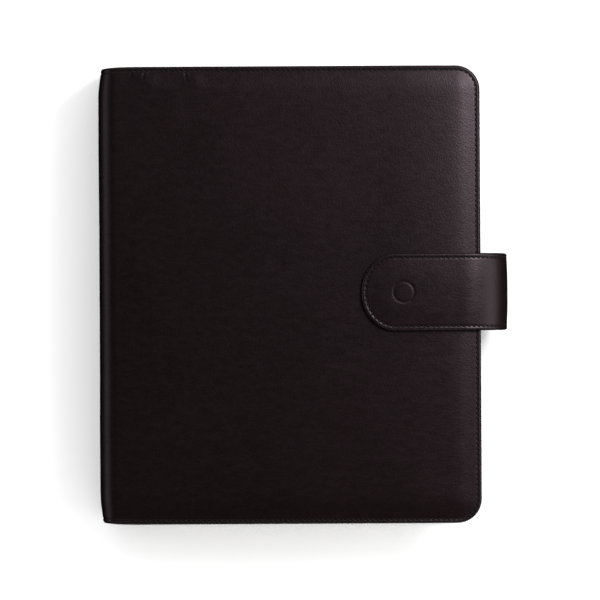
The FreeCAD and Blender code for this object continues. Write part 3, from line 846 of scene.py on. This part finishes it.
def pocket(node, side, open_at, notch):
    """A pocket inside a cover, open at "spine" or "top". notch is its thumb notch's depth and width."""
    low, high = box_mm(node)
    tall = high[2] - low[2]
    front = side == "front"
    if open_at == "spine":
        length, half = high[0] - low[0], (high[1] - low[1]) / 2
    else:
        length, half = high[1] - low[1], (high[0] - low[0]) / 2
    middle = (low + high) / 2
    dip, dip_wide = notch

    def path(s, y, offset):
        s = s + dip * bump(y, dip_wide) * np.clip(1 - s / length, 0, 1)
        if open_at == "spine":
            x, across = low[0] + s, middle[1] + (-y if front else y)
        else:
            x, across = middle[0] - y, high[1] - s
        z = high[2] - offset - droop(x) if front else low[2] + offset + droop(x) * BACK_DROOP + BELLY
        return np.stack([x, across, z], axis=-1)

    def top(d, s, y):
        place = np.stack([s, y, np.full(np.shape(s), tall)], axis=-1)
        near = np.minimum(d, s)
        sag = 0.12 * ripple(place, 22.0, 6)
        fold = -0.16 * bump(s - POCKET_FOLD, 0.35)
        seam = -0.22 * bump(d - POCKET_SEAM_IN, 0.4)
        return tall + rolled(near, 0.55) * 0.8 + fold + seam + sag * smooth((near - 1) / 6)

    def under(d, s, y):
        return np.full(np.shape(s), POCKET_UNDER)

    edge = pocket_edges(length, half)
    piece = soft_sheet(f"{node}_skin", edge, path, top, under, LINING, POCKET_STEPS, bulge=0.05)
    places, directions = edge.walk(POCKET_SEAM_IN, STITCH_PITCH, 2.0, 2.0)
    group = (places, directions, lambda s, y, h: path(s, y, tall + POCKET_UNDER + h))
    seam = stitches(f"{node}_stitches", [group], THREAD)
    for part, slot in ((piece, "lining_leather"), (seam, "thread")):
        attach(part, f"{side}_cover")
    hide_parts(node)


LOOP_THICK = 1.3
LOOP_TAB = 9.5


def pen_loop():
    """A strip of leather rolled into a loop for a pen, its two ends sewn down together as a tab."""
    low, high = box_mm("pen_loop")
    middle = (low + high) / 2
    bend = (high[0] - low[0] - LOOP_THICK) / 2
    floor_z = BELLY + BACK_DROOP * float(droop(np.array(middle[0]))) + low[2] + LOOP_THICK / 2
    centre_z = floor_z + bend
    turn = np.radians(np.linspace(-90, 212, 60))
    tab_x = middle[0] - bend - LOOP_TAB
    line = [(tab_x + k, floor_z + 0.15) for k in np.linspace(0, LOOP_TAB + bend - 1, 12)]
    line += [(middle[0] + bend * math.cos(a), centre_z + bend * math.sin(a)) for a in turn]
    end = line[-1]
    fall = end[1] - floor_z - LOOP_THICK
    line += [(end[0] - k * 1.1, floor_z + LOOP_THICK + fall * (1 - k / 4) ** 2) for k in (1, 2, 3)]
    line += [(tab_x + k, floor_z + 1.05 * LOOP_THICK) for k in (3.0, 1.5, 0.0)]
    path, length = polyline_path(line, soften=1.0)
    half = (high[1] - low[1]) / 2
    stops = np.linspace(0, length - POCKET_CORNER, 90)
    edge = Outline(length, half, POCKET_CORNER, POCKET_CORNER, stops, pitch=2.5, corner_steps=4)

    def laid(s, y, offset):
        return path(s, middle[1] - y, offset)

    def top(d, s, y):
        place = np.stack([s, y, np.zeros(np.shape(s))], axis=-1)
        value = LOOP_THICK / 2 + rolled(d, 0.5) * 0.8 - 0.15 * bump(d - POCKET_SEAM_IN, 0.35)
        return value + 0.04 * ripple(place, 9.0, 8)

    def under(d, s, y):
        return -LOOP_THICK / 2 - rolled(d, 0.5) * 0.8

    piece = soft_sheet("pen_loop_skin", edge, laid, top, under, LINING, POCKET_STEPS, bulge=0.05)
    rows = np.arange(-half + 2, half - 1.9, STITCH_PITCH)
    places = np.stack([np.full(len(rows), length - 2.2), rows], axis=-1)
    directions = np.tile([0.0, 1.0], (len(rows), 1))
    group = (places, directions, lambda s, y, h: laid(s, y, -LOOP_THICK / 2 - h))
    seam = stitches("pen_loop_stitches", [group], THREAD)
    for part, slot in ((piece, "lining_leather"), (seam, "thread")):
        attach(part, "back_cover")
    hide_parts("pen_loop")


pocket("front_slip_pocket", "front", "spine", SLIP_NOTCH)
for row in ("top", "middle", "bottom"):
    pocket(f"card_pocket_{row}", "front", "top", CARD_NOTCH)
pocket("back_slip_pocket", "back", "spine", SLIP_NOTCH)
pen_loop()

# ---- pages ---------------------------------------------------------------------------------------

RING_THICK_HALF = 1.5
RING_ROUND = (box_mm("ring_halves_upper")[1][2] - RING_AXIS[2]) - RING_THICK_HALF
RING_FIRST = 35.0
RING_PITCH = 19.0
RING_YS = [side * (RING_FIRST + RING_PITCH * step) for side in (-1, 1) for step in range(3)]
HOLE_ROUND = 3.0
HOLE_SLOT = 2.6
HOLE_IN = 8.0
CARD_HOLE_IN = 5.2
SHEETS = 14
SHEET_SHARE = 0.9
SHEET_SLIP = 0.12
SHEET_TILT = 0.1
PAGE_CORNER = 3.0
TAB_FROM = 42.0
TAB_TO = 78.0
TAB_DEEP = 8.0
TAB_CORNER = 3.0


def ring_x(z):
    """Where the rings pass at a height, so that every sheet's holes lie round them."""
    return RING_AXIS[0] + math.sqrt(RING_ROUND ** 2 - (z - RING_AXIS[2]) ** 2)


def arc(centre, radius, start, stop, steps):
    angle = np.radians(np.linspace(start, stop, steps))
    return [(centre[0] + radius * math.cos(a), centre[1] + radius * math.sin(a)) for a in angle]


def page_outline(wide, half, tab):
    """One page from its punched edge at x = 0, with rounded fore corners and, on a divider, an index tab."""
    r = PAGE_CORNER
    points = [(0, -half), *arc((wide - r, -half + r), r, -90, 0, 6)]
    if tab:
        low, high = tab
        q = TAB_CORNER
        points += [(wide, low), *arc((wide + TAB_DEEP - q, low + q), q, -80, 0, 5)]
        points += [*arc((wide + TAB_DEEP - q, high - q), q, 0, 80, 5), (wide, high)]
    return points + [*arc((wide - r, half - r), r, 0, 90, 6), (0, half)]


def flat_sheet(outline, holes, low, thick, x):
    """A sheet cut to an outline, as vertices and faces. Its oblong holes leave the rings room to open."""
    curve = bpy.data.curves.new("sheet", "CURVE")
    curve.dimensions = "2D"
    curve.fill_mode = "BOTH"
    curve.extrude = thick / 2
    rings = [outline]
    for near, y in holes:
        far_side = arc((near + HOLE_SLOT, y), HOLE_ROUND, -90, 90, 13)
        rings.append(arc((near, y), HOLE_ROUND, 90, 270, 13) + far_side)
    for points in rings:
        spline = curve.splines.new("POLY")
        spline.points.add(len(points) - 1)
        for at, point in zip(spline.points, points):
            at.co = (*point, 0, 1)
        spline.use_cyclic_u = True
    holder = bpy.data.objects.new("sheet", curve)
    mesh = bpy.data.meshes.new_from_object(holder)
    places = np.array([vertex.co for vertex in mesh.vertices]) + (x, 0, low + thick / 2)
    faces = [tuple(polygon.vertices) for polygon in mesh.polygons]
    bpy.data.objects.remove(holder)
    bpy.data.curves.remove(curve)
    bpy.data.meshes.remove(mesh)
    return places, faces


def welded(name, parts, material):
    """One object from many sheets, their side walls joined to their faces."""
    vertices, faces, count = [], [], 0
    for places, sheet_faces in parts:
        vertices.append(places)
        faces += [tuple(i + count for i in ids) for ids in sheet_faces]
        count += len(places)
    piece = new_mesh(name, np.concatenate(vertices), faces, material, shade=False)
    mesh = bmesh.new()
    mesh.from_mesh(piece.data)
    bmesh.ops.remove_doubles(mesh, verts=mesh.verts, dist=2e-6)
    bmesh.ops.recalc_face_normals(mesh, faces=mesh.faces)
    mesh.to_mesh(piece.data)
    mesh.free()
    return piece


def page_block(half):
    low, high = box_mm(f"page_block_{half}")
    card_low, card_high = box_mm(f"divider_{half}")
    wide, tall = high[0] - low[0], (high[1] - low[1]) / 2
    step = (high[2] - low[2]) / SHEETS
    sheets = []
    for k in range(SHEETS):
        z = low[2] + k * step
        x = ring_x(z + step / 2) - HOLE_IN + SHEET_SLIP * math.sin(2.4 * k)
        tilt = SHEET_TILT * math.sin(1.7 * k)
        outline = [(px, py + tilt) for px, py in page_outline(wide, tall, None)]
        holes = [(HOLE_IN, y) for y in RING_YS]
        sheets.append(flat_sheet(outline, holes, z, step * SHEET_SHARE, x))
    block = welded(f"page_block_{half}_sheets", sheets, PAPER)
    sign = -1 if half == "lower" else 1
    tab = sorted((sign * TAB_FROM, sign * TAB_TO))
    z = (card_low[2] + card_high[2]) / 2
    outline = page_outline(wide + CARD_HOLE_IN - HOLE_IN, tall, tab)
    holes = [(CARD_HOLE_IN, y) for y in RING_YS]
    card = welded(
        f"divider_{half}_card",
        [flat_sheet(outline, holes, card_low[2], card_high[2] - card_low[2], ring_x(z) - CARD_HOLE_IN)],
        CARD,
    )
    rows = ((block, f"page_block_{half}", "page_paper"), (card, f"divider_{half}", "divider_card"))
    for piece, node, slot in rows:
        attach(piece, f"pages_{half}")
        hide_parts(node)


page_block("lower")
page_block("upper")

# ---- carried-over CAD nodes ----------------------------------------------------------------------

RING_NODES = (
    "ring_shell", "ring_rivets", "lever_pins", "ring_halves_upper", "ring_halves_lower",
    "ring_blade_upper", "ring_blade_lower", "opening_lever_top", "opening_lever_bottom",
)
SNAP_NODES = ("snap_stud", "snap_post", "snap_socket")
for nodes, material in ((RING_NODES, CHROME), (SNAP_NODES, STUD)):
    for node in nodes:
        mesh = frame["nodes"][node].data
        mesh.materials.clear()
        mesh.materials.append(material)

# ---- floor, light and camera ---------------------------------------------------------------------


def floor():
    m = Nodes("studio_floor")
    tone = m.ramp(m.noise(3.0, 2.0), [(0.2, (0.93, 0.93, 0.93)), (0.8, (0.95, 0.95, 0.95))])
    m.finish(tone, Roughness=0.9)
    bpy.ops.mesh.primitive_plane_add(size=6, location=(0, 0, 0))
    plane = bpy.context.object
    plane.name = "studio_floor"
    plane.data.materials.append(m.material)
    plane.visible_glossy = False  # like the world, it leaves no white rim on the leather


def area_light(name, place, target, size, power, shown=True):
    """A soft lamp, of the given width and height."""
    data = bpy.data.lights.new(name, "AREA")
    data.shape = "RECTANGLE"
    data.size, data.size_y = size
    data.energy = power
    lamp = bpy.data.objects.new(name, data)
    lamp.location = place
    lamp.rotation_euler = (Vector(target) - Vector(place)).to_track_quat("-Z", "Y").to_euler()
    lamp.visible_camera = shown
    bpy.context.scene.collection.objects.link(lamp)


WORLD_POWER = 1.1
KEY_PLACE = (0.41, 0.3, 0.5)
KEY_TARGET = (0.05, 0.02, 0.02)
KEY_SIZE = (0.31, 0.31)
KEY_POWER = 3.7
STRIP_FAR = 1.5
STRIP_HIGH = 0.5
STRIP_SIZE = (2.0, 0.8)
STRIPS = (("right", 1, 0, 9.0), ("back", 0, 1, 4.0), ("left", -1, 0, 4.0), ("front", 0, -1, 4.0))


def studio():
    """An even white surround that the leather doesn't mirror, one near lamp, and dim strips on every side."""
    world = bpy.data.worlds.new("studio_world")
    bpy.context.scene.world = world
    world.use_nodes = True
    background = world.node_tree.nodes["Background"]
    background.inputs["Color"].default_value = (1.0, 1.0, 1.0, 1.0)
    background.inputs["Strength"].default_value = WORLD_POWER
    world.cycles_visibility.glossy = False
    bpy.context.scene.view_settings.view_transform = "Standard"
    area_light("key_light", KEY_PLACE, KEY_TARGET, KEY_SIZE, KEY_POWER)
    for name, x, y, power in STRIPS:
        place = (x * STRIP_FAR, y * STRIP_FAR, STRIP_HIGH)
        area_light(f"{name}_strip", place, (0, 0, 0), STRIP_SIZE, power, shown=False)


SENSOR_MM = 36.0
IMAGE_WIDE_MM = 307.9
CAMERA_CENTRE = (4.9, -2.6)
CAMERA_HIGH_MM = 1900.0
CAMERA_ROLL_DEG = -0.32


def camera():
    """A far camera straight above, its lens as long as the cover's top face fills the photograph."""
    data = bpy.data.cameras.new("studio_camera")
    data.sensor_width = SENSOR_MM
    data.lens = SENSOR_MM * (CAMERA_HIGH_MM - THICK) / IMAGE_WIDE_MM
    data.clip_end = 10.0
    eye = bpy.data.objects.new("studio_camera", data)
    eye.location = (CAMERA_CENTRE[0] * MM, CAMERA_CENTRE[1] * MM, CAMERA_HIGH_MM * MM)
    eye.rotation_euler = (0, 0, math.radians(CAMERA_ROLL_DEG))
    bpy.context.scene.collection.objects.link(eye)
    bpy.context.scene.camera = eye


floor()
studio()
camera()
